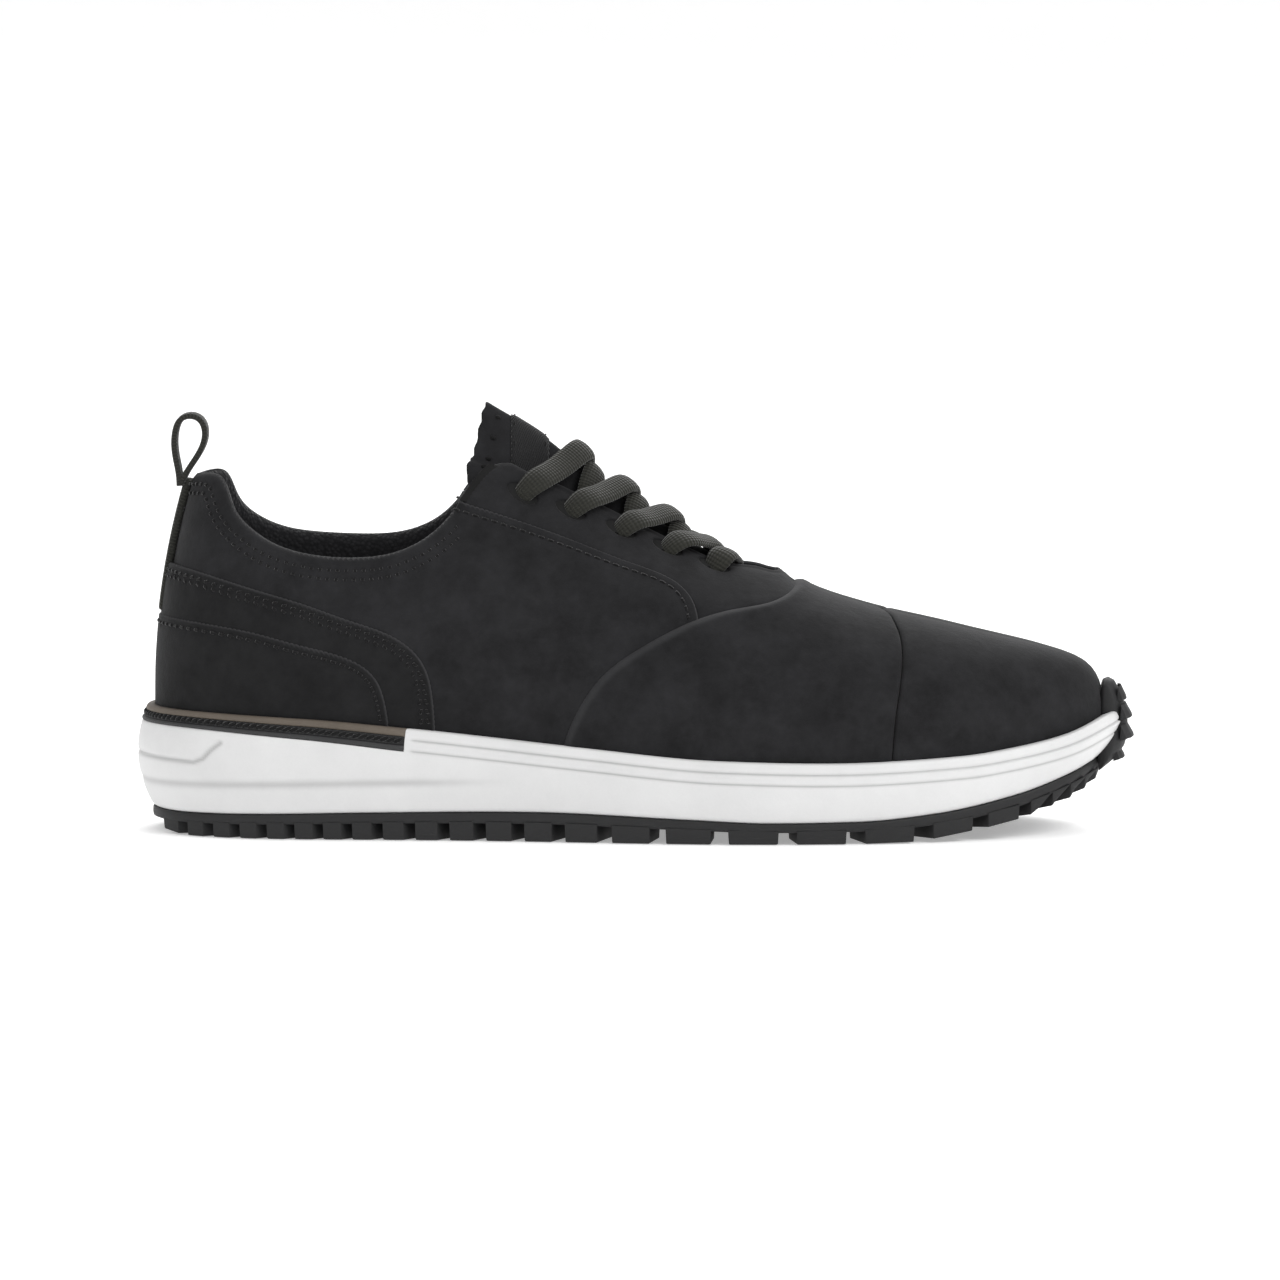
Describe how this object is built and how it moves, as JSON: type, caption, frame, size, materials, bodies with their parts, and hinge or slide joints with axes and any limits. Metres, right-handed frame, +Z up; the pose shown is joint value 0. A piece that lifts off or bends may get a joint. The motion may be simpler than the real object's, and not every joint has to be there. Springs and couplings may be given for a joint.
{
  "type": "golf shoe",
  "caption": "Spikeless black nubuck golf shoe for a right foot, with a white midsole, lugged rubber outsole with toe guard, padded collar, heel loop and flat laces.",
  "frame": {"origin": "centre of the shoe's bounding box in X and Y, on the ground the tread stands on", "axes": "+X from heel to toe, -Y to the lateral (outer) side of the foot, +Z up"},
  "size_m": [0.2995, 0.105, 0.1278],
  "materials": {
    "outsole": "matt black rubber",
    "midsole": "matt white moulded foam",
    "welt_strip": "grey-brown edge strip",
    "welt_band": "black welt band",
    "welt_lip": "dark grey rubber lip",
    "shank": "fibre-filled plastic",
    "board": "fibre board",
    "insole_foam": "soft foam",
    "insole_cloth": "black knit cloth",
    "leather": "black waterproof nubuck",
    "stiffener": "moulded stiffener sheet",
    "backing": "woven backing",
    "foam": "open-cell padding",
    "lining": "black textile lining",
    "webbing": "woven webbing",
    "label": "woven label, no wording",
    "lace": "flat woven lace",
    "aglet": "clear black film tip"
  },
  "bodies": {
    "shoe": {"outsole": "outsole", "midsole": "midsole", "welt_strip": "welt_strip", "welt_band": "welt_band", "welt_lip": "welt_lip", "shank": "shank", "lasting_board": "board", "toe_cap": "leather", "vamp": "leather", "quarter_lateral": "leather", "quarter_medial": "leather", "eyestay_lateral": "leather", "eyestay_medial": "leather", "heel_foxing_upper": "leather", "heel_foxing_lower": "leather", "toe_puff": "stiffener", "heel_counter": "stiffener", "vamp_backing": "backing", "eyelet_tape_lateral": "backing", "eyelet_tape_medial": "backing", "collar_foam": "foam", "vamp_lining": "lining", "quarter_lining": "lining", "collar_lining": "lining", "heel_pull_strip": "webbing", "lace": "lace", "aglet_lateral": "aglet", "aglet_medial": "aglet"},
    "tongue_body": {"tongue": "leather", "tongue_foam": "foam", "tongue_lining": "lining", "tongue_label": "label"},
    "loop_body": {"pull_loop": "webbing"},
    "insole_body": {"insole": "insole_foam", "insole_cloth": "insole_cloth"}
  },
  "joints": [
    {"name": "tongue_tilt", "type": "hinge", "parent": "shoe", "child": "tongue_body", "pos_m": [0.05, 0, 0.066], "axis": [0, -1, 0], "range_deg": [0, 10], "stiffness_Nm_per_rad": 0.4, "springref_deg": -2.86},
    {"name": "pull_loop_bend", "type": "hinge", "parent": "shoe", "child": "loop_body", "pos_m": [-0.1371, 0, 0.1044], "axis": [0, -1, 0], "range_deg": [-2, 60], "stiffness_Nm_per_rad": 0.02},
    {"name": "insole_lift", "type": "hinge", "parent": "shoe", "child": "insole_body", "pos_m": [0.138, 0, 0.029], "axis": [0, 1, 0], "range_deg": [0, 5]}
  ]
}
